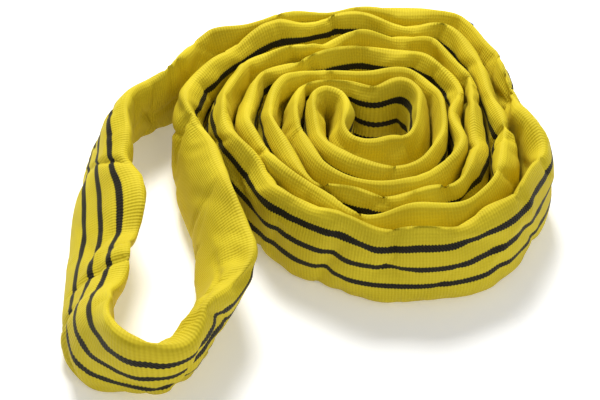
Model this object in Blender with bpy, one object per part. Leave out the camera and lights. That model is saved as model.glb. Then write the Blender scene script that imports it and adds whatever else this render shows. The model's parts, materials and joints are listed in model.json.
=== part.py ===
"""Endless round sling, doubled, rolled up on its edge, with one eye left free.

Metres, +Z up. The sling is one endless loop: a hollow woven sleeve around
parallel bundles of core yarn. Its route is drawn in drawing units and scaled so
that the loop measures CIRCUMFERENCE along its middle.
"""
import math

import bpy
import numpy as np

# Driving dimensions, in metres.
CIRCUMFERENCE = 3.0
SLEEVE_HEIGHT = 0.0540
SLEEVE_THICKNESS = 0.0155
SLEEVE_WALL = 0.0011
GAP = 0.0003
LAYER_GAP = 0.0008
THINNEST = 0.0070
LAP = 0.034
LAP_RINGS = (0.0, 0.5, 1.0, 1.2, 1.9)
CORE_STRANDS = 4
CORE_ROOM = 0.0020
THINNEST_CORE = 0.0018
RINGS = 190
STEP = 0.002
LONG_STEP = 0.028
BEND_STEP = 0.5
TIGHTEST = 0.8
FOOT = 0.9
# The section's flats: part of the half thickness along an edge, part of the half height along a face.
EDGE_FLAT = 0.45
FACE_FLAT = 0.3

# Label and sewing thread, in metres.
LABEL_FROM_LAP = 0.010
LABEL_MARGIN = 0.003
LABEL_STITCHES = 9
LABEL_ROWS = (0.3, 0.7)
SEAM_ROWS = (0.3, 0.55, 0.8)
SEAM_STITCHES = 12
SEAM_MARGIN = 0.001
STITCH_SWAY = 0.0013
TAG_LENGTH = 0.062
TAG_HEIGHT = 0.040
TAG_THICKNESS = 0.0014
STRIP_LENGTH = 0.012
STRIP_THICKNESS = 0.0010
THREAD_RADIUS = 0.00035
TAG_GAP = 0.0005
TAG_CLEARANCE = 0.0010

# Where the route's own origin lies from the middle of the object's footprint, in metres.
CENTRE = (0.0062, -0.0175)

# The roll, in drawing units: distance from its middle at every twelfth of a turn,
# clockwise from the back. One row for each turn.
MIDDLE = (60.0, 25.0)
OUTER_RUN = (
    133.5, 143.5, 118.0, 117.0, 130.5, 139.0, 127.5, 119.5, 113.5, 121.0, 126.0, 101.0,
    102.0, 105.0, 87.0, 75.5, 85.5, 101.0, 99.5, 92.0, 88.0, 86.0, 85.0, 63.0,
    50.0, 56.5, 54.0, 50.0, 57.0, 67.0, 68.5, 60.0, 54.0, 51.0,
)
INNER_RUN = (
    121.5, 118.5, 99.5, 96.5, 107.5, 119.5, 113.0, 105.0, 100.5, 104.5, 102.0, 82.5,
    80.5, 80.5, 69.5, 61.5, 69.5, 84.0, 83.0, 76.0, 71.5, 68.0, 67.0, 46.0,
    30.0, 38.0, 38.5, 36.5, 38.0, 43.0, 42.0, 39.0, 35.0, 30.0,
)
# How far the top edge tips towards the middle, in degrees, at every quarter turn.
OUTER_LEAN = (0.0, 5.0, 0.0, 8.0, 6.0, 5.0, 4.0, 8.0, 2.0, 4.0, 8.0, 2.0)
INNER_LEAN = (-4.0, 5.0, 2.0, 8.0, -2.0, 2.0, 6.0, 8.0, -2.0, 2.0, 22.0, 2.0)
# The fold at the inner end of the pair, from the inner run to the outer: x, y, lean.
FOLD = (
    (31.0, 34.0, 1.0), (29.5, 44.5, 0.0), (20.0, 51.0, 0.0), (10.5, 44.5, 0.0), (8.5, 34.0, -1.0),
)

# The free eye, from the outer run round to the inner run: x, y and the lean,
# positive where the top edge tips away from the eye.
EYE = (
    (30.0, 157.5, 0.0), (-20.0, 147.5, 0.0), (-66.0, 127.0, 0.0), (-101.0, 100.0, -5.0),
    (-128.0, 73.0, -14.0), (-144.0, 37.0, -24.0), (-147.5, 0.0, -38.0), (-143.5, -45.0, -53.0),
    (-143.5, -90.0, -52.0), (-144.5, -138.0, -37.0), (-142.0, -178.0, -10.0), (-121.0, -198.0, 12.0),
    (-97.0, -203.0, 16.0), (-76.0, -187.0, 20.0), (-59.5, -152.0, 26.0), (-55.5, -98.0, 26.0),
    (-66.0, -48.0, 24.0), (-81.0, -6.0, 14.0), (-88.0, 30.0, 4.0), (-84.0, 62.0, -4.0),
    (-67.0, 90.0, -6.0), (-44.0, 112.0, -7.0), (-15.0, 132.5, -8.0), (20.0, 145.5, -6.0),
)


def route_points():
    """Rows of x, y, lean for the endless loop, the lean positive to the right of travel."""
    def roll(radii, leans, side):
        steps = np.arange(len(radii))
        angle = math.pi / 2 - steps * math.pi / 6
        tip = side * np.interp(steps / 3, np.arange(len(leans)), leans)
        x = MIDDLE[0] + radii * np.cos(angle)
        y = MIDDLE[1] + radii * np.sin(angle)
        return np.stack([x, y, tip], axis=1)

    inwards = roll(np.array(INNER_RUN), INNER_LEAN, 1.0)
    outwards = roll(np.array(OUTER_RUN), OUTER_LEAN, -1.0)[::-1]
    return np.concatenate([EYE, inwards, FOLD, outwards])


def smooth_loop(points, steps):
    """A closed centripetal Catmull-Rom curve through points, with steps samples a span."""
    before = np.roll(points, 1, axis=0)
    after = np.roll(points, -1, axis=0)
    later = np.roll(points, -2, axis=0)
    gap = [np.sqrt(np.linalg.norm((q - p)[:, :2], axis=1))[:, None]
           for p, q in ((before, points), (points, after), (after, later))]
    slope_in = (points - before) / gap[0] - (after - before) / (gap[0] + gap[1]) + (after - points) / gap[1]
    slope_out = (after - points) / gap[1] - (later - points) / (gap[1] + gap[2]) + (later - after) / gap[2]
    part = np.linspace(0.0, 1.0, steps, endpoint=False)[:, None, None]
    span = gap[1]
    curve = (
        (2 * part**3 - 3 * part**2 + 1) * points
        + (part**3 - 2 * part**2 + part) * span * slope_in
        + (3 * part**2 - 2 * part**3) * after
        + (part**3 - part**2) * span * slope_out
    )
    return curve.transpose(1, 0, 2).reshape(-1, points.shape[1])


def spread(values, reach, pick):
    """Runs pick over each value and its neighbours up to reach away, round the loop."""
    wrapped = np.concatenate([values[-reach:], values, values[:reach]])
    return pick(np.lib.stride_tricks.sliding_window_view(wrapped, 2 * reach + 1, axis=0), axis=-1)


class Route:
    """The middle of the loop, its frames and the room on each side of it."""

    def __init__(self):
        drawn = smooth_loop(route_points(), 24)
        step = np.linalg.norm(np.diff(drawn[:, :2], axis=0, append=drawn[:1, :2]), axis=1)
        self.scale = CIRCUMFERENCE / step.sum()
        drawn_at = np.concatenate([[0.0], np.cumsum(step)]) * self.scale
        closed = np.concatenate([drawn, drawn[:1]]) * [self.scale, self.scale, 1.0] - [*CENTRE, 0.0]
        self.at = np.arange(0.0, CIRCUMFERENCE, STEP)
        self.points = np.stack([np.interp(self.at, drawn_at, closed[:, k]) for k in range(3)], axis=1)
        self.points[:, 2] = spread(self.points[:, 2], 12, np.mean)
        ahead = np.roll(self.points, -1, axis=0) - np.roll(self.points, 1, axis=0)
        heading = np.unwrap(np.arctan2(ahead[:, 1], ahead[:, 0]))
        self.turn = spread(np.gradient(heading, STEP), 2, np.mean)
        self.ahead = np.stack([np.cos(heading), np.sin(heading)], axis=1)
        self.right = np.stack([np.sin(heading), -np.cos(heading)], axis=1)
        self.room = self._room()

    def _room(self):
        """Half thickness to the left and to the right of every sample.

        It is half the clear distance to the next layer on that side, up to half the
        sleeve's thickness, and less than the bend's radius on the inside of a bend.
        """
        apart = np.abs(self.at[:, None] - self.at[None])
        apart = np.minimum(apart, CIRCUMFERENCE - apart)
        lean = np.tan(np.radians(self.points[:, 2]))[:, None]
        room = np.full((len(self.at), 2), SLEEVE_THICKNESS / 2)
        for level in (-0.45, 0.0, 0.45):
            place = self.points[:, :2] + self.right * lean * level * SLEEVE_HEIGHT
            delta = place[None] - place[:, None]
            across = np.einsum("ijk,ik->ij", delta, self.right)
            along = np.abs(np.einsum("ijk,ik->ij", delta, self.ahead))
            near = (along < 0.006) & (apart > 0.035)
            for side, sign in enumerate((-1.0, 1.0)):
                reach = np.where(near & (across * sign > 0), across * sign, 1.0).min(axis=1)
                room[:, side] = np.minimum(room[:, side], (reach - LAYER_GAP) / 2)
        for side, sign in enumerate((1.0, -1.0)):
            radius = 1.0 / np.maximum(self.turn * sign, 1e-3)
            room[:, side] = np.minimum(room[:, side], TIGHTEST * radius)
        room = spread(room, 5, np.min)
        return np.maximum(spread(room, 5, np.mean), THINNEST / 2)

    def sample(self, places):
        """Middle, right side, up and the room left and right, at distances along the loop."""
        spot = np.mod(places, CIRCUMFERENCE) / STEP
        low = np.floor(spot).astype(int)
        part = (spot - low)[:, None]
        table = np.concatenate([self.points, self.right, self.room], axis=1)
        row = table[low % len(table)] * (1 - part) + table[(low + 1) % len(table)] * part
        right = row[:, 3:5] / np.linalg.norm(row[:, 3:5], axis=1)[:, None]
        right = np.column_stack([right, np.zeros(len(spot))])
        angle = np.radians(row[:, 2])[:, None]
        upright = np.array([0.0, 0.0, 1.0])
        up = upright * np.cos(angle) + right * np.sin(angle)
        side = right * np.cos(angle) - upright * np.sin(angle)
        tipped = np.abs(np.sin(angle[:, 0]))
        thick = row[:, 5:].max(axis=1)
        lift = SLEEVE_HEIGHT / 2 * np.cos(angle[:, 0]) + FOOT * thick * tipped
        middle = np.column_stack([row[:, :2], lift])
        return middle, side, up, row[:, 5], row[:, 6]

    def rings(self):
        """Distances of the rings, closer together in the bends and set by hand in the lap."""
        load = STEP / LONG_STEP + np.abs(self.turn) * STEP / BEND_STEP
        total = np.concatenate([[0.0], np.cumsum(load)])
        places = np.concatenate([self.at, [CIRCUMFERENCE]])
        even = np.interp(np.linspace(0.0, total[-1], RINGS), total, places)
        return np.concatenate([LAP * np.array(LAP_RINGS), even[even > LAP * LAP_RINGS[-1] + STEP]])


def material(name, colour, roughness, metallic=0.0):
    """A plain Principled material."""
    made = bpy.data.materials.new(name)
    made.use_nodes = True
    shader = made.node_tree.nodes["Principled BSDF"]
    shader.inputs["Base Color"].default_value = (*colour, 1.0)
    shader.inputs["Roughness"].default_value = roughness
    shader.inputs["Metallic"].default_value = metallic
    made.diffuse_color = (*colour, 1.0)
    return made


def body(name, points, faces, finish):
    """An object with this mesh and one material."""
    mesh = bpy.data.meshes.new(name)
    mesh.from_pydata(np.asarray(points).reshape(-1, 3).tolist(), [], faces)
    mesh.materials.append(finish)
    mesh.validate()
    made = bpy.data.objects.new(name, mesh)
    bpy.context.scene.collection.objects.link(made)
    return made


def joined_rows(rows, columns, loop_rows=False, first=0, flip=False):
    """Quads between neighbouring rows of a grid whose columns close into rings."""
    faces = []
    for row in range(rows if loop_rows else rows - 1):
        here = first + row * columns
        there = first + (row + 1) % rows * columns
        for column in range(columns):
            beside = (column + 1) % columns
            quad = [here + column, there + column, there + beside, here + beside]
            faces.append(quad[::-1] if flip else quad)
    return faces


def section(half_height, left, right):
    """Twelve points round the sleeve's section, as shifts to the right and up.

    The sides are flat over the middle, and the top and bottom edges are rounded
    with a small flat, so that the sleeve can stand on its edge.
    """
    across = np.array([EDGE_FLAT, 1.0, 1.0, 1.0, 1.0, EDGE_FLAT])
    corner = (left + right) / 2
    level = np.stack([
        -half_height, corner - half_height, -FACE_FLAT * half_height,
        FACE_FLAT * half_height, half_height - corner, half_height,
    ], axis=1)
    shift = np.concatenate([across * right[:, None], -across[::-1] * left[:, None]], axis=1)
    height = np.concatenate([level, level[:, ::-1]], axis=1)
    return shift, height


def swept(route, places, half_height, left, right):
    """The section carried along the route at the given distances."""
    middle, side, up = route.sample(places)[:3]
    shift, height = section(half_height, left, right)
    return middle[:, None] + side[:, None] * shift[:, :, None] + up[:, None] * height[:, :, None]


def tucked(places):
    """How far the sleeve's inner end is drawn in, to pass inside its outer end."""
    drawn_in = SLEEVE_WALL + GAP
    return drawn_in * np.interp(places / LAP, LAP_RINGS[-2:], [1.0, 0.0])


def make_sleeve(route, finish):
    """The woven tube: a hollow wall, open at both ends, whose outer end laps the inner end."""
    places = route.rings()
    places = np.concatenate([places, CIRCUMFERENCE + LAP * np.array(LAP_RINGS[1:3])])
    left, right = route.sample(places)[3:]
    tuck = tucked(places)
    half = np.full(len(places), SLEEVE_HEIGHT / 2)
    outer = swept(route, places, half - tuck, left - tuck, right - tuck)
    deeper = tuck + SLEEVE_WALL
    inner = swept(route, places, half - deeper, left - deeper, right - deeper)
    rows, columns = outer.shape[:2]
    faces = joined_rows(rows, columns)
    faces += joined_rows(rows, columns, first=rows * columns, flip=True)
    for row, flip in ((0, False), (rows - 1, True)):
        for column in range(columns):
            beside = (column + 1) % columns
            here = row * columns
            there = (rows + row) * columns
            quad = [here + column, here + beside, there + beside, there + column]
            faces.append(quad[::-1] if flip else quad)
    return body("sleeve", np.concatenate([outer, inner]), faces, finish)


def make_core(route, finish):
    """The load-bearing core: endless bundles of parallel yarn, one above another."""
    places = route.rings()[:-1]
    middle, side, up, left, right = route.sample(places)
    inside = SLEEVE_WALL + CORE_ROOM + tucked(places)
    tall = (SLEEVE_HEIGHT - 2 * inside - 2 * CORE_ROOM) / CORE_STRANDS
    turn = np.arange(6) * math.pi / 3
    for strand in range(CORE_STRANDS):
        level = (strand - (CORE_STRANDS - 1) / 2) * tall[:, None]
        half_width = np.maximum((left + right) / 2 - inside, THINNEST_CORE / 2)
        centre = (right - left) / 2
        shift = centre[:, None] + half_width[:, None] * np.cos(turn)
        height = level + (tall[:, None] / 2 - 2 * GAP) * np.sin(turn)
        ring = middle[:, None] + side[:, None] * shift[:, :, None] + up[:, None] * height[:, :, None]
        faces = joined_rows(len(places), 6, loop_rows=True)
        body(f"core_strand_{strand + 1}", ring, faces, finish)


def face_grid(route, start, end, low, high, away, columns, rows):
    """Points on a patch that follows the striped face, away from it by a distance."""
    places = np.linspace(start, end, columns)
    middle, side, up, _, right = route.sample(places)
    level = np.linspace(low, high, rows)
    ground = middle + side * (right + away)[:, None]
    return ground[:, None] + up[:, None] * level[None, :, None]


def plate(name, near, far, finish):
    """A closed plate between two matching grids of points."""
    columns, rows = near.shape[:2]
    count = columns * rows
    faces = []
    for column in range(columns - 1):
        for row in range(rows - 1):
            here = column * rows + row
            quad = [here, here + 1, here + rows + 1, here + rows]
            faces.append(quad)
            faces.append([point + count for point in quad[::-1]])
    rim = list(range(rows))
    rim += [column * rows + rows - 1 for column in range(1, columns)]
    rim += [(columns - 1) * rows + row for row in range(rows - 2, -1, -1)]
    rim += [column * rows for column in range(columns - 2, 0, -1)]
    for here, there in zip(rim, rim[1:] + rim[:1]):
        faces.append([here, here + count, there + count, there])
    return body(name, np.concatenate([near.reshape(-1, 3), far.reshape(-1, 3)]), faces, finish)


def thread(name, points, radius, finish):
    """A closed tube with filled ends through points."""
    curve = bpy.data.curves.new(name, "CURVE")
    curve.dimensions = "3D"
    curve.bevel_depth = radius
    curve.bevel_resolution = 1
    curve.use_fill_caps = True
    spline = curve.splines.new("POLY")
    spline.points.add(len(points) - 1)
    for point, place in zip(spline.points, points):
        point.co = (*place, 1.0)
    curve.materials.append(finish)
    made = bpy.data.objects.new(name, curve)
    bpy.context.scene.collection.objects.link(made)
    return made


def stitch_line(route, place, reach, away, stitches):
    """Points of a seam across the striped face, swaying to one side at each stitch."""
    count = 2 * stitches + 1
    level = np.linspace(-reach, reach, count)
    shift = STITCH_SWAY * (np.arange(count) % 2)
    middle, side, up, _, right = route.sample(place + shift)
    return middle + side * (right + away)[:, None] + up * level[:, None]


def make_seam(route, finish):
    """Three stitched rows that hold the lapped ends of the sleeve together."""
    reach = SLEEVE_HEIGHT / 2 - SLEEVE_THICKNESS / 2 - SEAM_MARGIN
    for row, part in enumerate(SEAM_ROWS):
        points = stitch_line(route, part * LAP, reach, GAP + THREAD_RADIUS, SEAM_STITCHES)
        thread(f"seam_thread_{row + 1}", points, THREAD_RADIUS, finish)


def make_label(route, cloth, sewing):
    """The sewn strip of the label, its free tag and the thread that holds the strip."""
    high = TAG_HEIGHT / 2
    strip_end = -LABEL_FROM_LAP
    strip_start = strip_end - STRIP_LENGTH
    near = face_grid(route, strip_start, strip_end, -high, high, GAP, 3, 5)
    far = face_grid(route, strip_start, strip_end, -high, high, GAP + STRIP_THICKNESS, 3, 5)
    plate("label_strip", near, far, cloth)
    tag_end = strip_start - TAG_CLEARANCE
    tag_start = tag_end - TAG_LENGTH
    near = face_grid(route, tag_start, tag_end, -high, high, TAG_GAP, 9, 3)
    far = face_grid(route, tag_start, tag_end, -high, high, TAG_GAP + TAG_THICKNESS, 9, 3)
    tag = plate("label_tag", near, far, cloth)
    away = STRIP_THICKNESS + 2 * GAP + THREAD_RADIUS
    for row, part in enumerate(LABEL_ROWS):
        place = strip_start + part * STRIP_LENGTH
        points = stitch_line(route, place, high - LABEL_MARGIN, away, LABEL_STITCHES)
        thread(f"label_thread_{row + 1}", points, THREAD_RADIUS, sewing)
    # The tag turns about the upright line where it leaves the strip.
    hinge = (near[-1, 0] + far[-1, 0]) / 2
    pivot = bpy.data.objects.new("label_hinge", None)
    pivot.location = (hinge[0], hinge[1], SLEEVE_HEIGHT / 2)
    bpy.context.scene.collection.objects.link(pivot)
    tag.parent = pivot
    tag.matrix_parent_inverse = pivot.matrix_basis.inverted()
    return pivot


def main():
    """Clears the scene and builds the sling."""
    for item in list(bpy.data.objects):
        bpy.data.objects.remove(item, do_unlink=True)
    woven = material("sleeve_fabric", (0.72, 0.60, 0.03), 0.75)
    yarn = material("core_yarn", (0.85, 0.84, 0.80), 0.8)
    sewing = material("sewing_thread", (0.75, 0.64, 0.06), 0.6)
    label = material("label_cloth", (0.05, 0.16, 0.42), 0.5)
    route = Route()
    make_sleeve(route, woven)
    make_core(route, yarn)
    make_seam(route, sewing)
    pivot = make_label(route, label, sewing)
    print("scale", round(route.scale, 6), "hinge", [round(value, 5) for value in pivot.location])


main()
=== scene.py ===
import json
import math

import bpy
import numpy as np
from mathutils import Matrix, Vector

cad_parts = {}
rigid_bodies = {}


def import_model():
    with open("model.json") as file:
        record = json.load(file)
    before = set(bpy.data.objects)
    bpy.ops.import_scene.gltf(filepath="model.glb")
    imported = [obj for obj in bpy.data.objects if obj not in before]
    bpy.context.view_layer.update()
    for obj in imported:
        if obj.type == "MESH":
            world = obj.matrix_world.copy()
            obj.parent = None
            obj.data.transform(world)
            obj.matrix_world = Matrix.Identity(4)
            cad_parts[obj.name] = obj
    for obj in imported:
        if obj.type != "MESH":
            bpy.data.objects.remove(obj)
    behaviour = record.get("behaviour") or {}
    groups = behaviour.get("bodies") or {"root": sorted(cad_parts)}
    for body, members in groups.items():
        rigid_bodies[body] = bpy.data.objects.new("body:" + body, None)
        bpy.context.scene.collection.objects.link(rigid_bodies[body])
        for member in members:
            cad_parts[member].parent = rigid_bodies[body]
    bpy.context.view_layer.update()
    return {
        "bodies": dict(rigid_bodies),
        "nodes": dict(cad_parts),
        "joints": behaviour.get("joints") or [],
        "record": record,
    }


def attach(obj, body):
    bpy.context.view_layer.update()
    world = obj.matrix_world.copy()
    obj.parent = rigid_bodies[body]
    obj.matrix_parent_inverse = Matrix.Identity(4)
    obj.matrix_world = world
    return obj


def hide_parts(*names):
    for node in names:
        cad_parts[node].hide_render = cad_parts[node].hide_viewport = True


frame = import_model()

# The sling's own sizes, in metres, as the CAD model has them.
CIRCUMFERENCE = 3.0
HEIGHT = 0.0540
CENTRE = (0.0062, -0.0175)
LAP = 0.034
STEP = 0.002
CURVE_STEPS = 24
TAG_LENGTH = 0.062
TAG_HEIGHT = 0.040
STRIP_LENGTH = 0.012
TAG_CLEARANCE = 0.0010
LABEL_FROM_LAP = 0.010
# The tag's turning line lies this far from the sleeve's middle, and the cover stays inside it.
HINGE_OUT = 0.00895
HINGE_ROOM = 0.0077
SEAM_ROWS = (0.3, 0.55, 0.8)
LABEL_ROWS = (0.3, 0.7)
STITCH_RADIUS = 0.00032
CORE_COLUMNS = (4, 9, 14, 19)
CORE_SHARE = 0.34
CORE_TALL = 0.0085

# The cover's grid, and how fat the filled sleeve may grow where it has room.
AROUND = 48
HALF_THICK = 0.0092
LEANING_FOOT = 0.00648
LAYER_GAP = 0.0005
STOREYS = np.linspace(-0.5, 0.5, 7)

# The route of the loop, as the CAD model has it: drawing units and degrees.
MIDDLE = (60.0, 25.0)
OUTER_RUN = (
    133.5, 143.5, 118.0, 117.0, 130.5, 139.0, 127.5, 119.5, 113.5, 121.0, 126.0, 101.0,
    102.0, 105.0, 87.0, 75.5, 85.5, 101.0, 99.5, 92.0, 88.0, 86.0, 85.0, 63.0,
    50.0, 56.5, 54.0, 50.0, 57.0, 67.0, 68.5, 60.0, 54.0, 51.0,
)
INNER_RUN = (
    121.5, 118.5, 99.5, 96.5, 107.5, 119.5, 113.0, 105.0, 100.5, 104.5, 102.0, 82.5,
    80.5, 80.5, 69.5, 61.5, 69.5, 84.0, 83.0, 76.0, 71.5, 68.0, 67.0, 46.0,
    30.0, 38.0, 38.5, 36.5, 38.0, 43.0, 42.0, 39.0, 35.0, 30.0,
)
OUTER_LEAN = (0.0, 5.0, 0.0, 8.0, 6.0, 5.0, 4.0, 8.0, 2.0, 4.0, 8.0, 2.0)
INNER_LEAN = (-4.0, 5.0, 2.0, 8.0, -2.0, 2.0, 6.0, 8.0, -2.0, 2.0, 22.0, 2.0)
FOLD = (
    (31.0, 34.0, 1.0), (29.5, 44.5, 0.0), (20.0, 51.0, 0.0), (10.5, 44.5, 0.0), (8.5, 34.0, -1.0),
)
EYE = (
    (30.0, 157.5, 0.0), (-20.0, 147.5, 0.0), (-66.0, 127.0, 0.0), (-101.0, 100.0, -5.0),
    (-128.0, 73.0, -14.0), (-144.0, 37.0, -24.0), (-147.5, 0.0, -38.0), (-143.5, -45.0, -53.0),
    (-143.5, -90.0, -52.0), (-144.5, -138.0, -37.0), (-142.0, -178.0, -10.0), (-121.0, -198.0, 12.0),
    (-97.0, -203.0, 16.0), (-76.0, -187.0, 20.0), (-59.5, -152.0, 26.0), (-55.5, -98.0, 26.0),
    (-66.0, -48.0, 24.0), (-81.0, -6.0, 14.0), (-88.0, 30.0, 4.0), (-84.0, 62.0, -4.0),
    (-67.0, 90.0, -6.0), (-44.0, 112.0, -7.0), (-15.0, 132.5, -8.0), (20.0, 145.5, -6.0),
)


def route_points():
    """Rows of x, y, lean for the endless loop, the lean positive to the right of travel.

    In the roll a point's angle falls by a twelfth of a turn at each step, and its
    distance from the middle is the table's.
    """
    def roll(radii, leans, side):
        steps = np.arange(len(radii))
        angle = math.pi / 2 - steps * math.pi / 6
        tip = side * np.interp(steps / 3, np.arange(len(leans)), leans)
        x = MIDDLE[0] + radii * np.cos(angle)
        y = MIDDLE[1] + radii * np.sin(angle)
        return np.stack([x, y, tip], axis=1)

    inwards = roll(np.array(INNER_RUN), INNER_LEAN, 1.0)
    outwards = roll(np.array(OUTER_RUN), OUTER_LEAN, -1.0)[::-1]
    return np.concatenate([EYE, inwards, FOLD, outwards])


def smooth_loop(points, steps):
    """A closed centripetal Catmull-Rom curve: cubic spans whose end slopes come from
    the neighbouring points, weighted by the square root of their distances."""
    before = np.roll(points, 1, axis=0)
    after = np.roll(points, -1, axis=0)
    later = np.roll(points, -2, axis=0)
    gap = [np.sqrt(np.linalg.norm((q - p)[:, :2], axis=1))[:, None]
           for p, q in ((before, points), (points, after), (after, later))]
    slope_in = (
        (points - before) / gap[0] - (after - before) / (gap[0] + gap[1]) + (after - points) / gap[1]
    )
    slope_out = (
        (after - points) / gap[1] - (later - points) / (gap[1] + gap[2]) + (later - after) / gap[2]
    )
    part = np.linspace(0.0, 1.0, steps, endpoint=False)[:, None, None]
    span = gap[1]
    curve = (
        (2 * part**3 - 3 * part**2 + 1) * points
        + (part**3 - 2 * part**2 + part) * span * slope_in
        + (3 * part**2 - 2 * part**3) * after
        + (part**3 - part**2) * span * slope_out
    )
    return curve.transpose(1, 0, 2).reshape(-1, points.shape[1])


def spread(values, reach, pick):
    """Runs pick over each value and its neighbours up to reach away, round the loop."""
    wrapped = np.concatenate([values[-reach:], values, values[:reach]])
    return pick(np.lib.stride_tricks.sliding_window_view(wrapped, 2 * reach + 1, axis=0), axis=-1)


class Route:
    """The middle of the loop, its directions, and the room that each layer has."""

    def __init__(self):
        drawn = smooth_loop(route_points(), CURVE_STEPS)
        step = np.linalg.norm(np.diff(drawn[:, :2], axis=0, append=drawn[:1, :2]), axis=1)
        self.scale = CIRCUMFERENCE / step.sum()
        drawn_at = np.concatenate([[0.0], np.cumsum(step)]) * self.scale
        self.marks = drawn_at[:-1:CURVE_STEPS]
        closed = np.concatenate([drawn, drawn[:1]]) * [self.scale, self.scale, 1.0] - [*CENTRE, 0.0]
        self.at = np.arange(0.0, CIRCUMFERENCE, STEP)
        points = np.stack([np.interp(self.at, drawn_at, closed[:, k]) for k in range(3)], axis=1)
        self.plan = points[:, :2]
        self.lean = spread(points[:, 2], 12, np.mean)
        ahead = np.roll(self.plan, -1, axis=0) - np.roll(self.plan, 1, axis=0)
        heading = np.unwrap(np.arctan2(ahead[:, 1], ahead[:, 0]))
        self.turn = spread(np.gradient(heading, STEP), 2, np.mean)
        self.ahead = np.stack([np.cos(heading), np.sin(heading)], axis=1)
        self.right = np.stack([np.sin(heading), -np.cos(heading)], axis=1)
        angle = np.radians(self.lean)[:, None]
        flat_right = np.column_stack([self.right, np.zeros(len(self.at))])
        upright = np.array([0.0, 0.0, 1.0])
        self.up = upright * np.cos(angle) + flat_right * np.sin(angle)
        self.side = flat_right * np.cos(angle) - upright * np.sin(angle)

    def room(self, shift):
        """Half thickness to the left and the right of every sample, at every storey.

        It is half the clear distance to the next layer at that height, up to
        HALF_THICK, and less than the bend's radius on the inside of a bend.
        shift is how far the middle lies to the right at each sample and storey.
        """
        apart = np.abs(self.at[:, None] - self.at[None])
        apart = np.minimum(apart, CIRCUMFERENCE - apart)
        lean = np.tan(np.radians(self.lean))
        rooms = []
        for storey, level in enumerate(STOREYS):
            away = lean * level * HEIGHT + shift[:, storey]
            place = self.plan + self.right * away[:, None]
            delta = place[None] - place[:, None]
            across = np.einsum("ijk,ik->ij", delta, self.right)
            along = np.abs(np.einsum("ijk,ik->ij", delta, self.ahead))
            near = (along < 0.004) & (apart > 0.035)
            room = np.full((len(self.at), 2), HALF_THICK)
            for side, sign in enumerate((-1.0, 1.0)):
                reach = np.where(near & (across * sign > 0), across * sign, 1.0).min(axis=1)
                room[:, side] = np.minimum(room[:, side], (reach - LAYER_GAP) / 2)
                radius = 1.0 / np.maximum(-self.turn * sign, 1e-3)
                room[:, side] = np.minimum(room[:, side], 0.85 * radius)
            rooms.append(spread(spread(room, 3, np.min), 3, np.mean))
        return np.stack(rooms, axis=2)


def wave(rng, at, longest, shortest, count):
    """A smooth random wave along the loop, about -1 to 1: a sum of whole-number cosines."""
    low = CIRCUMFERENCE / longest
    high = CIRCUMFERENCE / shortest
    number = np.round(np.exp(rng.uniform(math.log(low), math.log(high), count)))
    phase = rng.uniform(0.0, 2 * math.pi, count)
    angle = 2 * math.pi * number[:, None] * at / CIRCUMFERENCE + phase[:, None]
    return np.cos(angle).sum(axis=0) / math.sqrt(count) * 1.1


def storey_values(room, level):
    """room, given at STOREYS, read at each grid point's level."""
    spot = np.clip((level - STOREYS[0]) / (STOREYS[1] - STOREYS[0]), 0, len(STOREYS) - 1.001)
    low = np.floor(spot).astype(int)
    part = spot - low
    rows = np.arange(len(room))[:, None]
    return room[rows, low] * (1 - part) + room[rows, low + 1] * part


def creases(rng, at, around, count):
    """Soft folds on the cover: each is a long narrow Gaussian trough or ridge that
    crosses the fabric at its own slant. Lengths in metres, around from 0 to 1."""
    perimeter = 2 * HEIGHT
    total = np.zeros((len(at), len(around)))
    for _ in range(count):
        where = rng.uniform(0.0, CIRCUMFERENCE)
        beside = rng.uniform(0.0, 1.0)
        slant = rng.normal(0.0, 0.5) + rng.choice([0.0, math.pi / 2], p=[0.6, 0.4])
        length = rng.uniform(0.012, 0.040)
        width = rng.uniform(0.0022, 0.0055)
        depth = rng.uniform(0.3, 1.0) * rng.choice([-1.0, 0.6], p=[0.7, 0.3])
        along = (at - where + CIRCUMFERENCE / 2) % CIRCUMFERENCE - CIRCUMFERENCE / 2
        over = ((around - beside + 0.5) % 1.0 - 0.5) * perimeter
        rows = np.abs(along) < 0.08
        x = along[rows][:, None]
        y = over[None]
        down = x * math.cos(slant) + y * math.sin(slant)
        across = y * math.cos(slant) - x * math.sin(slant)
        total[rows] += depth * np.exp(-(down / length) ** 2 - (across / width) ** 2)
    return total


# Where the eye's edges are pushed about: the eye's point number, metres to the right of
# travel, the reach along the loop in metres, and whether it is the upper edge (1) or the lower (0).
EDGE_PUSHES = (
    (6.4, 0.0036, 0.016, 1), (7.3, 0.0052, 0.014, 1), (8.3, 0.0030, 0.010, 1),
    (9.0, -0.0040, 0.014, 1), (10.0, -0.0105, 0.016, 1), (10.1, 0.0030, 0.016, 0),
    (11.4, -0.0030, 0.018, 0), (12.6, 0.0025, 0.012, 1), (13.4, -0.0020, 0.010, 1),
    (14.6, 0.0035, 0.016, 1), (15.7, -0.0030, 0.018, 1), (17.0, 0.0040, 0.016, 1),
    (3.3, -0.0035, 0.016, 1), (4.6, 0.0030, 0.014, 1), (2.0, 0.0025, 0.014, 1),
)
# How much thinner the sleeve is just past the lap, and how many soft folds cross it.
TUCK = 0.0012
FOLDS = 1100
FOLD_DEPTH = 0.0017


def lift_of(angle):
    """How high the sleeve's middle stands when it leans by an angle, on its lower edge."""
    return HEIGHT / 2 * np.cos(angle) + LEANING_FOOT * np.abs(np.sin(angle))


def hinge_place():
    """How far along the loop the label's tag ends and turns."""
    return -LABEL_FROM_LAP - STRIP_LENGTH - TAG_CLEARANCE


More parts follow.
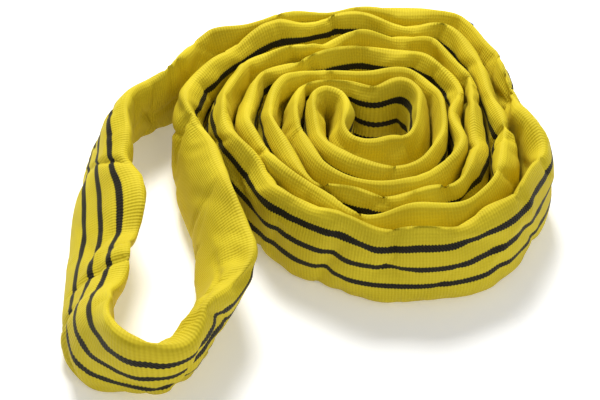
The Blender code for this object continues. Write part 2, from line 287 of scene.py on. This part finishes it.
class Cover:
    """The filled sleeve as a grid of points, ring by ring.

    Going round a ring from its lower edge, the level rises over the striped face and falls
    over the plain one. The sleeve is fattest below the middle, where the core has sunk, and
    tapers to a soft upper edge: half thickness = fat (1 - x^p)^q, with x the part of the way
    from the fattest level to the edge. It never passes the room between the layers.
    """

    def __init__(self, route):
        rng = np.random.default_rng(11)
        self.route = route
        at = route.at
        around = np.arange(AROUND) / AROUND
        self.face = np.where(around < 0.5, 1.0, -1.0)
        self.rise = np.where(around < 0.5, 4 * around - 1, 3 - 4 * around)
        in_eye = np.interp(at, [0.10, 0.20, route.marks[20], route.marks[22]], [0.0, 1.0, 1.0, 0.0])
        # The middle sways to each side, more at the upper edge than at the lower.
        sway = (0.0021 + 0.0004 * in_eye)[:, None] * wave(rng, at, 0.15, 0.045, 16)[:, None]
        sway = sway * (STOREYS + 0.5)[None]
        sway += 0.0008 * wave(rng, at, 0.12, 0.05, 14)[:, None] * (0.5 - STOREYS)[None]
        for point, shift, reach, upper in EDGE_PUSHES:
            place = np.interp(point, np.arange(len(route.marks)), route.marks)
            swell = np.exp(-((at - place) / reach) ** 2)
            share = 0.5 + (STOREYS if upper else -STOREYS)
            sway += shift * swell[:, None] * share[None] ** 1.5
        label = np.interp((at + 0.12) % CIRCUMFERENCE, [0.0, 0.02, 0.17, 0.20], [0.0, 1.0, 1.0, 0.0])
        sway *= (1 - label)[:, None]
        room = route.room(sway)
        self.level = self.rise[None] * 0.5 * np.ones((len(at), 1))
        left = storey_values(room[:, 0], self.level)
        right = storey_values(room[:, 1], self.level)
        self.limit = np.where(self.face > 0, right, left)
        self.middle = storey_values(sway, self.level)
        # The cover lies flatter where the label's tag turns.
        past = (at - hinge_place() + CIRCUMFERENCE / 2) % CIRCUMFERENCE - CIRCUMFERENCE / 2
        flatter = HINGE_ROOM + 12 * past[:, None] ** 2
        self.limit = np.where(self.face > 0, np.minimum(self.limit, flatter), self.limit)
        # How far up the fattest part sits, and how sharp the upper edge is, vary along the loop.
        low = (-0.22 + 0.16 * wave(rng, at, 0.22, 0.08, 12) + 0.15 * in_eye)[:, None]
        above = np.clip((self.rise[None] - low) / (1 - low), 0.0, 1.0)
        below = np.clip((low - self.rise[None]) / (1 + low), 0.0, 1.0)
        edge = np.clip(0.72 + 0.10 * wave(rng, at, 0.20, 0.05, 14), 0.5, 0.95)[:, None]
        profile = np.where(self.rise[None] > low, (1 - above**1.9) ** edge, (1 - below**2.6) ** 0.5)
        fat = (0.0083 + 0.0009 * wave(rng, at, 0.25, 0.06, 12) + 0.0006 * in_eye)[:, None]
        past_lap = [LAP - 0.001, LAP + 0.001, LAP + 0.008, LAP + 0.03]
        tuck = TUCK * np.interp(at, past_lap, [0.0, 1.0, 1.0, 0.0])
        thick = np.minimum((fat - tuck[:, None]) * profile, self.limit)
        fold = creases(rng, at, around, FOLDS) * FOLD_DEPTH * (1 - 0.8 * label)[:, None]
        thick += fold * np.clip(profile * 1.6, 0.3, 1.0)
        self.thick = np.clip(thick, -0.25 * self.limit, self.limit)
        # Painted shade: the cloth colour is darkened, through the depth attribute, where the next
        # layer is close and the point lies below the upper edge.
        tight = 1 - np.clip((self.limit - 0.0025) / 0.0055, 0.0, 1.0)
        self.depth = tight * np.clip((0.80 - self.rise[None]) / 0.9, 0.0, 1.0)
        # The upper edge rides up and down a little; the lower edge stands on the floor.
        ride = 0.0021 * wave(rng, at, 0.16, 0.04, 16)[:, None] * (1 - 0.6 * label)[:, None]
        self.height = self.level * HEIGHT + ride * np.clip(self.rise, 0.0, 1.0)[None] ** 2

    def points(self, thick, height, along=0.0):
        """The grid in space, from half thickness, height and shift along the loop."""
        route = self.route
        angle = np.radians(route.lean)
        base = np.column_stack([route.plan, lift_of(angle)])
        ahead = np.column_stack([route.ahead, np.zeros(len(base))])
        out = (
            base[:, None]
            + route.side[:, None] * (self.middle + self.face[None] * thick)[:, :, None]
            + route.up[:, None] * height[:, :, None]
            + ahead[:, None] * (along * np.ones_like(thick))[:, :, None]
        )
        out[:, :, 2] = np.maximum(out[:, :, 2], 0.0)
        return out

    def moved(self, shift):
        """The grid after each point has moved by shift, kept within its layer's room."""
        route = self.route
        sideways = np.einsum("ijk,ik->ij", shift, route.side) * self.face[None]
        upwards = np.einsum("ijk,ik->ij", shift, route.up)
        along = np.einsum("ijk,ik->ij", shift[:, :, :2], route.ahead)
        self.thick = np.clip(self.thick + sideways, -0.3 * self.limit, self.limit)
        self.height = np.clip(self.height + upwards, -0.5 * HEIGHT, 0.56 * HEIGHT)
        return self.points(self.thick, self.height, along)


SWELL_FRAMES = 20
SWELL_CAP = 0.0014


def swell(piece, shape):
    """Cloth pressed out from inside: a copy of the piece, its cloth cut a little too large, is
    blown up for SWELL_FRAMES frames. How far each point moved, up to SWELL_CAP, is returned."""
    copy = bpy.data.objects.new("swelling", piece.data.copy())
    bpy.context.scene.collection.objects.link(copy)
    hold = copy.vertex_groups.new(name="hold")
    hold.add(list(range(len(copy.data.vertices))), 0.12, "REPLACE")
    cloth = copy.modifiers.new("cloth", "CLOTH")
    settings = cloth.settings
    settings.quality = 5
    settings.mass = 0.25
    settings.tension_stiffness = 10.0
    settings.compression_stiffness = 6.0
    settings.shear_stiffness = 4.0
    settings.bending_stiffness = 0.35
    settings.shrink_min = -0.03
    settings.use_pressure = True
    settings.uniform_pressure_force = 4.0
    settings.effector_weights.gravity = 0.0
    settings.vertex_group_mass = "hold"
    settings.pin_stiffness = 0.15
    cloth.point_cache.frame_start = 1
    cloth.point_cache.frame_end = SWELL_FRAMES
    for frame in range(1, SWELL_FRAMES + 1):
        bpy.context.scene.frame_set(frame)
    solved = copy.evaluated_get(bpy.context.evaluated_depsgraph_get())
    after = np.empty(len(copy.data.vertices) * 3, np.float32)
    solved.data.vertices.foreach_get("co", after)
    before = np.empty_like(after)
    copy.data.vertices.foreach_get("co", before)
    bpy.data.objects.remove(copy, do_unlink=True)
    bpy.context.scene.frame_set(1)
    shift = (after - before).astype(float).reshape(shape)
    length = np.linalg.norm(shift, axis=-1, keepdims=True)
    print("cloth moved mm, percentiles", np.percentile(length, [5, 50, 95, 99.9]) * 1000)
    return shift * np.tanh(length / SWELL_CAP) * SWELL_CAP / np.maximum(length, 1e-9)


def store_painted_shade(made, depth):
    """Stores painted shade for the material, 0 to 1: how far down each point lies between pressed
    layers.
    """
    layer = made.data.attributes.new("depth", "FLOAT", "POINT")
    layer.data.foreach_set("value", depth.reshape(-1).astype(np.float32))


def grid_mesh(name, points, map_name="weave"):
    """A closed ring grid made a mesh, with a UV map: metres along the loop, part round it."""
    rows, columns = points.shape[:2]
    index = np.arange(rows * columns).reshape(rows, columns)
    here = index
    beside = np.roll(index, -1, axis=1)
    there = np.roll(index, -1, axis=0)
    corner = np.roll(there, -1, axis=1)
    quads = np.stack([here, there, corner, beside], axis=-1).reshape(-1, 4)
    mesh = bpy.data.meshes.new(name)
    mesh.vertices.add(rows * columns)
    mesh.vertices.foreach_set("co", points.reshape(-1))
    mesh.loops.add(quads.size)
    mesh.loops.foreach_set("vertex_index", quads.reshape(-1))
    mesh.polygons.add(len(quads))
    mesh.polygons.foreach_set("loop_start", np.arange(len(quads)) * 4)
    mesh.polygons.foreach_set("use_smooth", np.ones(len(quads), bool))
    u = np.arange(rows + 1) * CIRCUMFERENCE / rows
    v = np.arange(columns + 1) / columns
    row, column = np.divmod(np.arange(len(quads)), columns)
    corners = [(row, column), (row + 1, column), (row + 1, column + 1), (row, column + 1)]
    flat = np.stack([np.stack([u[r], v[c]], axis=-1) for r, c in corners], axis=1)
    layer = mesh.uv_layers.new(name=map_name)
    layer.data.foreach_set("uv", flat.reshape(-1))
    mesh.update(calc_edges=True)
    mesh.validate()
    made = bpy.data.objects.new(name, mesh)
    bpy.context.scene.collection.objects.link(made)
    return made


class Value:
    """A shader socket whose arithmetic adds Math nodes."""

    def __init__(self, tree, socket):
        self.tree = tree
        self.socket = socket

    def node(self, kind, values=(), output=0, **settings):
        """Adds a node, sets its settings, fills its sockets and returns one output."""
        return add_node(self.tree, kind, values, output, **settings)

    def _math(self, operation, *values):
        return self.node("ShaderNodeMath", values, operation=operation)

    def __add__(self, other): return self._math("ADD", self, other)
    def __radd__(self, other): return self._math("ADD", other, self)
    def __sub__(self, other): return self._math("SUBTRACT", self, other)
    def __rsub__(self, other): return self._math("SUBTRACT", other, self)
    def __mul__(self, other): return self._math("MULTIPLY", self, other)
    def __rmul__(self, other): return self._math("MULTIPLY", other, self)
    def sin(self): return self._math("SINE", self)
    def fraction(self): return self._math("FRACT", self)
    def size(self): return self._math("ABSOLUTE", self)
    def least(self, other): return self._math("MINIMUM", self, other)

    def ramp(self, low, high):
        """0 below low and 1 above high, smoothly between."""
        values = (self, low, high, 0.0, 1.0)
        return self.node("ShaderNodeMapRange", values, interpolation_type="SMOOTHSTEP")


def add_node(tree, kind, values=(), output=0, **settings):
    """One shader node: its settings first, then its sockets by order or by name."""
    made = tree.nodes.new(kind)
    for name, setting in settings.items():
        setattr(made, name, setting)
    pairs = values.items() if isinstance(values, dict) else enumerate(values)
    for key, value in pairs:
        if isinstance(value, Value):
            tree.links.new(value.socket, made.inputs[key])
        else:
            made.inputs[key].default_value = value
    return Value(tree, made.outputs[output])


def new_material(name):
    """A material with its tree, its Principled shader and nothing else set."""
    made = bpy.data.materials.new(name)
    made.use_nodes = True
    tree = made.node_tree
    return made, tree, tree.nodes["Principled BSDF"]


def feed(tree, shader, **inputs):
    """Sets or links the shader's sockets, named with underscores for spaces."""
    for key, value in inputs.items():
        socket = shader.inputs[key.replace("_", " ")]
        if isinstance(value, Value):
            tree.links.new(value.socket, socket)
        else:
            socket.default_value = value


def mixed(tree, factor, first, second):
    """A colour between two colours."""
    def colour(value):
        return value if isinstance(value, Value) else (*value, 1.0)
    values = {0: factor, 6: colour(first), 7: colour(second)}
    return add_node(tree, "ShaderNodeMix", values, 2, data_type="RGBA")


# The weave: rib spacing in metres, warp lines round the tube, and the stripes' middles and
# half width as parts of the way round it.
RIB_PITCH = 0.00165
WARP_LINES = 62
STRIPE_PLACES = (0.165, 0.28, 0.395)
STRIPE_HALF = 0.0175


def woven_material():
    """Yellow ribbed sleeve cloth with three dark twilled stripes on one face.

    The ribs are a sine along the loop, the warp lines a finer one round it. A stripe is a
    band round the tube whose borders step in and out with the ribs.
    """
    made, tree, shader = new_material("woven_sleeve_cloth")
    place = add_node(tree, "ShaderNodeUVMap", uv_map="weave")
    parts = tree.nodes.new("ShaderNodeSeparateXYZ")
    tree.links.new(place.socket, parts.inputs[0])
    along = Value(tree, parts.outputs[0])
    around = Value(tree, parts.outputs[1])
    rib = (along * (2 * math.pi / RIB_PITCH)).sin()
    warp = (around * (2 * math.pi * WARP_LINES)).sin()
    coords = add_node(tree, "ShaderNodeTexCoord", output=3)
    blotch = add_node(tree, "ShaderNodeTexNoise", {"Vector": coords, "Scale": 28.0, "Detail": 3.0})
    fuzz = add_node(tree, "ShaderNodeTexNoise", {"Vector": coords, "Scale": 900.0, "Detail": 2.0})
    tooth = (rib * 0.0020) + (fuzz - 0.5) * 0.005
    nearest = None
    for middle in STRIPE_PLACES:
        distance = (around - middle).size()
        nearest = distance if nearest is None else nearest.least(distance)
    stripe = 1.0 - (nearest + tooth).ramp(STRIPE_HALF - 0.002, STRIPE_HALF + 0.002)
    twill = ((along * (1 / RIB_PITCH) + around * WARP_LINES).fraction() - 0.5).size() * 2
    yellow = mixed(tree, blotch.ramp(0.3, 0.7), (0.56, 0.43, 0.010), (0.66, 0.525, 0.016))
    # Painted highlight on the raised rib crests and painted shade in the grooves between the warp
    # lines, following the bump's relief.
    yellow = mixed(tree, (rib * 0.5 + 0.5) * 0.30, yellow, (0.76, 0.64, 0.03))
    yellow = mixed(tree, (0.5 - warp * 0.5) * 0.10, yellow, (0.42, 0.30, 0.01))
    dark = mixed(tree, twill.ramp(0.2, 0.9), (0.004, 0.0035, 0.002), (0.020, 0.016, 0.006))
    # Painted shade: the yellow turns dark brown where the depth attribute says that the layers press
    # close.
    layer_shade = add_node(tree, "ShaderNodeAttribute", output=2, attribute_name="depth")
    yellow = mixed(tree, layer_shade * 0.75, yellow, (0.16, 0.095, 0.0))
    colour = mixed(tree, stripe, yellow, dark)
    relief = rib * 0.5 + warp * 0.2 + twill * stripe * 0.8 + fuzz * 0.5
    bump = add_node(tree, "ShaderNodeBump", {"Strength": 0.55, "Distance": 0.00035, "Height": relief})
    feed(tree, shader, Base_Color=colour, Roughness=0.72 - stripe * 0.05, Normal=bump)
    feed(tree, shader, Sheen_Weight=0.06, Sheen_Roughness=0.45, Specular_IOR_Level=0.2)
    feed(tree, shader, Sheen_Tint=(1.0, 0.85, 0.2, 1.0))
    return made


def plain_cloth(name, colour, roughness=0.7, sheen=0.2):
    """A cloth of one dye: fine crossed threads, slight blotches."""
    made, tree, shader = new_material(name)
    coords = add_node(tree, "ShaderNodeTexCoord", output=3)
    blotch = add_node(tree, "ShaderNodeTexNoise", {"Vector": coords, "Scale": 60.0, "Detail": 3.0})
    fuzz = add_node(tree, "ShaderNodeTexNoise", {"Vector": coords, "Scale": 1500.0, "Detail": 2.0})
    darker = tuple(part * 0.72 for part in colour)
    shade = mixed(tree, blotch * 0.6 + fuzz * 0.4, darker, colour)
    bump = add_node(tree, "ShaderNodeBump", {"Strength": 0.5, "Distance": 0.0002, "Height": fuzz})
    feed(tree, shader, Base_Color=shade, Roughness=roughness, Normal=bump, Sheen_Weight=sheen)
    return made


def place_camera():
    """Looks along +Y, down by 43 degrees, at the middle of the drawn route."""
    tilt = math.radians(43.0)
    distance = 0.834
    target = Vector((-CENTRE[0], -CENTRE[1], 0.0))
    data = bpy.data.cameras.new("camera")
    data.lens = 84.0
    data.sensor_width = 36.0
    data.clip_start = 0.01
    camera = bpy.data.objects.new("camera", data)
    camera.location = target + Vector((0.0, -math.cos(tilt), math.sin(tilt))) * distance
    camera.rotation_euler = (math.pi / 2 - tilt, 0.0, 0.0)
    bpy.context.scene.collection.objects.link(camera)
    bpy.context.scene.camera = camera


def place_lights():
    """A broad overhead softbox, a fill from the right and a white room."""
    def area(name, place, aim, size, power):
        data = bpy.data.lights.new(name, "AREA")
        data.shape = "RECTANGLE"
        data.size = size
        data.size_y = size
        data.energy = power
        lamp = bpy.data.objects.new(name, data)
        lamp.location = place
        direction = Vector(aim) - Vector(place)
        lamp.rotation_euler = direction.to_track_quat("-Z", "Y").to_euler()
        bpy.context.scene.collection.objects.link(lamp)

    area("key", (-0.10, 0.75, 1.05), (0.0, 0.0, 0.02), 0.5, 21.0)
    area("front_fill", (0.65, -0.95, 0.85), (0.0, 0.0, 0.03), 0.7, 3.0)
    world = bpy.data.worlds.new("studio")
    world.use_nodes = True
    world.node_tree.nodes["Background"].inputs["Color"].default_value = (1.0, 1.0, 1.0, 1.0)
    world.node_tree.nodes["Background"].inputs["Strength"].default_value = 0.36
    bpy.context.scene.world = world
    # Plain colour display keeps the strong yellow of the cloth.
    bpy.context.scene.view_settings.view_transform = "Standard"


def place_floor():
    """A plain pale floor."""
    mesh = bpy.data.meshes.new("floor")
    half = 6.0
    corners = [(-half, -half, 0), (half, -half, 0), (half, half, 0), (-half, half, 0)]
    mesh.from_pydata(corners, [], [(0, 1, 2, 3)])
    made, tree, shader = new_material("floor")
    feed(tree, shader, Base_Color=(1.0, 1.0, 1.0, 1.0), Roughness=0.9)
    feed(tree, shader, Emission_Color=(1.0, 1.0, 1.0, 1.0), Emission_Strength=0.2)
    mesh.materials.append(made)
    floor = bpy.data.objects.new("floor", mesh)
    floor.location = (0.0, 0.0, -0.0002)
    bpy.context.scene.collection.objects.link(floor)


def make_cover(shape):
    """The sleeve's cloth, in place of the CAD sleeve. Returns its final grid."""
    points = shape.points(shape.thick, shape.height)
    cover = grid_mesh("woven_cover", points)
    points = shape.moved(swell(cover, points.shape))
    cover.data.vertices.foreach_set("co", points.reshape(-1))
    cover.data.update()
    # The painted shade between pressed layers, stored on the cover.
    store_painted_shade(cover, shape.depth)
    cover.data.materials.append(woven_material())
    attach(cover, "sling")
    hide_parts("sleeve")
    return points


def make_core(shape, finish):
    """The yarn bundles, one above another, inside the final cover.

    Each ring of a bundle is an ellipse: as wide as CORE_SHARE of the least room between the
    two faces nearby, and CORE_TALL high.
    """
    offset = shape.middle + shape.face[None] * shape.thick
    turn = np.arange(8) * math.pi / 4
    angle = np.radians(shape.route.lean)
    base = np.column_stack([shape.route.plan, lift_of(angle)])
    for strand, column in enumerate(CORE_COLUMNS):
        window = np.arange(column - 2, column + 3)
        right = spread(offset[:, window].min(axis=1), 4, np.min)
        left = spread(offset[:, AROUND - window].max(axis=1), 4, np.max)
        middle = spread((right + left) / 2, 3, np.mean)
        wide = spread(np.clip(right - left, 0.0012, None) * CORE_SHARE, 3, np.min)
        level = shape.rise[column] * 0.5 * HEIGHT
        sideways = middle[:, None] + wide[:, None] * np.cos(turn)
        height = level + CORE_TALL / 2 * np.sin(turn)[None] * np.ones((len(base), 1))
        points = (
            base[:, None]
            + shape.route.side[:, None] * sideways[:, :, None]
            + shape.route.up[:, None] * height[:, :, None]
        )
        bundle = grid_mesh(f"yarn_bundle_{strand + 1}", points[::2])
        bundle.data.materials.append(finish)
        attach(bundle, "sling")
        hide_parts(f"core_strand_{strand + 1}")


def surface(points, along, around, away):
    """Points away from the cover, along its normal, at distances along the loop and parts
    round it. The cover's grid is read by bilinear interpolation, and the normal is the cross
    product of its two directions."""
    rows, columns = points.shape[:2]

    def read(spot_along, spot_around):
        row = np.mod(spot_along, CIRCUMFERENCE) / CIRCUMFERENCE * rows
        column = np.mod(spot_around, 1.0) * columns
        low_row = np.floor(row).astype(int)
        low_column = np.floor(column).astype(int)
        part_row = (row - low_row)[..., None]
        part_column = (column - low_column)[..., None]
        corner = [
            points[(low_row + i) % rows, (low_column + j) % columns] for i in (0, 1) for j in (0, 1)
        ]
        near = corner[0] * (1 - part_column) + corner[1] * part_column
        far = corner[2] * (1 - part_column) + corner[3] * part_column
        return near * (1 - part_row) + far * part_row

    across = read(along + 0.003, around) - read(along - 0.003, around)
    upwards = read(along, around + 0.03) - read(along, around - 0.03)
    normal = np.cross(across, upwards)
    normal /= np.linalg.norm(normal, axis=-1, keepdims=True)
    return read(along, around) + normal * np.asarray(away)[..., None]


def shell(name, near, far):
    """A closed thin plate between two grids: both faces and the rim between them."""
    rows, columns = near.shape[:2]
    count = rows * columns
    index = np.arange(count).reshape(rows, columns)
    corners = [index[:-1, :-1], index[:-1, 1:], index[1:, 1:], index[1:, :-1]]
    inner = np.stack(corners, axis=-1).reshape(-1, 4)
    outer = inner[:, ::-1] + count
    rim = np.concatenate([index[0, :-1], index[:-1, -1], index[-1, :0:-1], index[:0:-1, 0]])
    beside = np.roll(rim, -1)
    edge = np.stack([beside, rim, rim + count, beside + count], axis=-1)
    mesh = bpy.data.meshes.new(name)
    points = np.concatenate([near.reshape(-1, 3), far.reshape(-1, 3)])
    mesh.from_pydata(points.tolist(), [], np.concatenate([inner, outer, edge]).tolist())
    mesh.polygons.foreach_set("use_smooth", np.ones(len(mesh.polygons), bool))
    made = bpy.data.objects.new(name, mesh)
    bpy.context.scene.collection.objects.link(made)
    return made


def turned_out(made):
    """Makes a closed mesh's faces point outwards, by the sign of its volume."""
    count = len(made.data.polygons)
    centre = np.empty(count * 3)
    normal = np.empty(count * 3)
    area = np.empty(count)
    made.data.polygons.foreach_get("center", centre)
    made.data.polygons.foreach_get("normal", normal)
    made.data.polygons.foreach_get("area", area)
    centre = centre.reshape(-1, 3) - centre.reshape(-1, 3).mean(axis=0)
    if ((centre * normal.reshape(-1, 3)).sum(axis=1) * area).sum() < 0:
        made.data.flip_normals()


def hinge_line(route):
    """Where the tag turns, seen from above: HINGE_OUT from the sleeve's middle."""
    at = hinge_place() % CIRCUMFERENCE
    line = route.plan + route.side[:, :2] * HINGE_OUT
    return np.array([np.interp(at, route.at, line[:, k]) for k in range(2)])


def make_label(points, route, finish):
    """The label's sewn strip and its free tag, as cloth laid against the cover."""
    reach = TAG_HEIGHT / HEIGHT
    low = (1 - reach) / 4
    high = (1 + reach) / 4
    strip_end = -LABEL_FROM_LAP
    strip_start = strip_end - STRIP_LENGTH
    tag_end = strip_start - TAG_CLEARANCE
    pieces = (
        ("label_sewn_strip", "label_strip", "sling", strip_start, strip_end, 12, 0.0, 0.0008),
        ("label_cloth_tag", "label_tag", "label", tag_end - TAG_LENGTH, tag_end, 48, 0.0006, 0.0009),
    )
    for name, node, ride, start, end, count, curl, thick in pieces:
        stations = np.linspace(start, end, count)
        along, around = np.meshgrid(stations, np.linspace(low, high, 32), indexing="ij")
        # The free end stands a little away from the sleeve, and its corners curl.
        free = np.clip((end - along) / (end - start), 0.0, 1.0)
        corner = np.abs(2 * (around - low) / (high - low) - 1)
        away = 0.0004 + curl * free**2 * (1 + 1.5 * corner**4)
        near = surface(points, along, around, away)
        far = surface(points, along, around, away + thick)
        if node == "label_tag":
            # The sewn end is drawn onto the line that it turns about.
            pull = hinge_line(route) - (near[-1, :, :2] + far[-1, :, :2]) / 2
            fade = np.exp(-(end - along) / 0.008)[:, :, None]
            near[:, :, :2] += fade * pull[None]
            far[:, :, :2] += fade * pull[None]
        piece = shell(name, near, far)
        turned_out(piece)
        piece.data.materials.append(finish)
        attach(piece, ride)
        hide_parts(node)


def make_stitches(points, name, node, place, reach, base, finish, count):
    """One sewn row as a string of stitches: a tube whose path dips through the cloth.

    Its distance from the cloth is base plus a cosine that falls below the cloth between
    stitches, and it sways to each side in turn.
    """
    steps = count * 10
    part = np.linspace(0.0, 1.0, steps + 1)
    around = 0.25 + (part - 0.5) * reach / HEIGHT * 0.5
    wavy = np.cos(2 * math.pi * count * part)
    away = base + STITCH_RADIUS * (0.3 - 1.1 * wavy)
    along = place + 0.0006 * np.sin(math.pi * count * part)
    path = surface(points, along, around, away)
    ahead = np.gradient(path, axis=0)
    ahead /= np.linalg.norm(ahead, axis=1, keepdims=True)
    beside = np.cross(ahead, surface(points, along, around, away + 0.001) - path)
    beside /= np.linalg.norm(beside, axis=1, keepdims=True)
    above = np.cross(beside, ahead)
    turn = np.arange(6) * math.pi / 3
    ring = beside[:, None] * np.cos(turn)[None, :, None] + above[:, None] * np.sin(turn)[None, :, None]
    tube = path[:, None] + ring * STITCH_RADIUS
    rows, columns = tube.shape[:2]
    index = np.arange(rows * columns).reshape(rows, columns)
    beside_index = np.roll(index, -1, axis=1)
    corners = [index[:-1], beside_index[:-1], beside_index[1:], index[1:]]
    faces = np.stack(corners, axis=-1).reshape(-1, 4).tolist()
    faces.append(index[0, ::-1].tolist())
    faces.append(index[-1].tolist())
    mesh = bpy.data.meshes.new(name)
    mesh.from_pydata(tube.reshape(-1, 3).tolist(), [], faces)
    mesh.polygons.foreach_set("use_smooth", np.ones(len(mesh.polygons), bool))
    made = bpy.data.objects.new(name, mesh)
    bpy.context.scene.collection.objects.link(made)
    turned_out(made)
    made.data.materials.append(finish)
    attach(made, "sling")
    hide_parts(node)


def make_sewing(points, finish):
    """The seam's three rows, through the lapped sleeve, and the label's two."""
    for row, part in enumerate(SEAM_ROWS):
        node = f"seam_thread_{row + 1}"
        make_stitches(points, f"seam_stitches_{row + 1}", node, part * LAP, 0.036, 0.0, finish, 12)
    for row, part in enumerate(LABEL_ROWS):
        place = -LABEL_FROM_LAP - STRIP_LENGTH * (1 - part)
        node = f"label_thread_{row + 1}"
        make_stitches(points, f"label_stitches_{row + 1}", node, place, 0.034, 0.0012, finish, 11)


place_camera()
place_lights()
place_floor()
shape = Cover(Route())
cover = make_cover(shape)
make_core(shape, plain_cloth("core_yarn_white", (0.80, 0.79, 0.74)))
make_label(cover, shape.route, plain_cloth("blue_label_cloth", (0.03, 0.10, 0.32), 0.5))
make_sewing(cover, plain_cloth("yellow_sewing_thread", (0.72, 0.60, 0.05), 0.55))
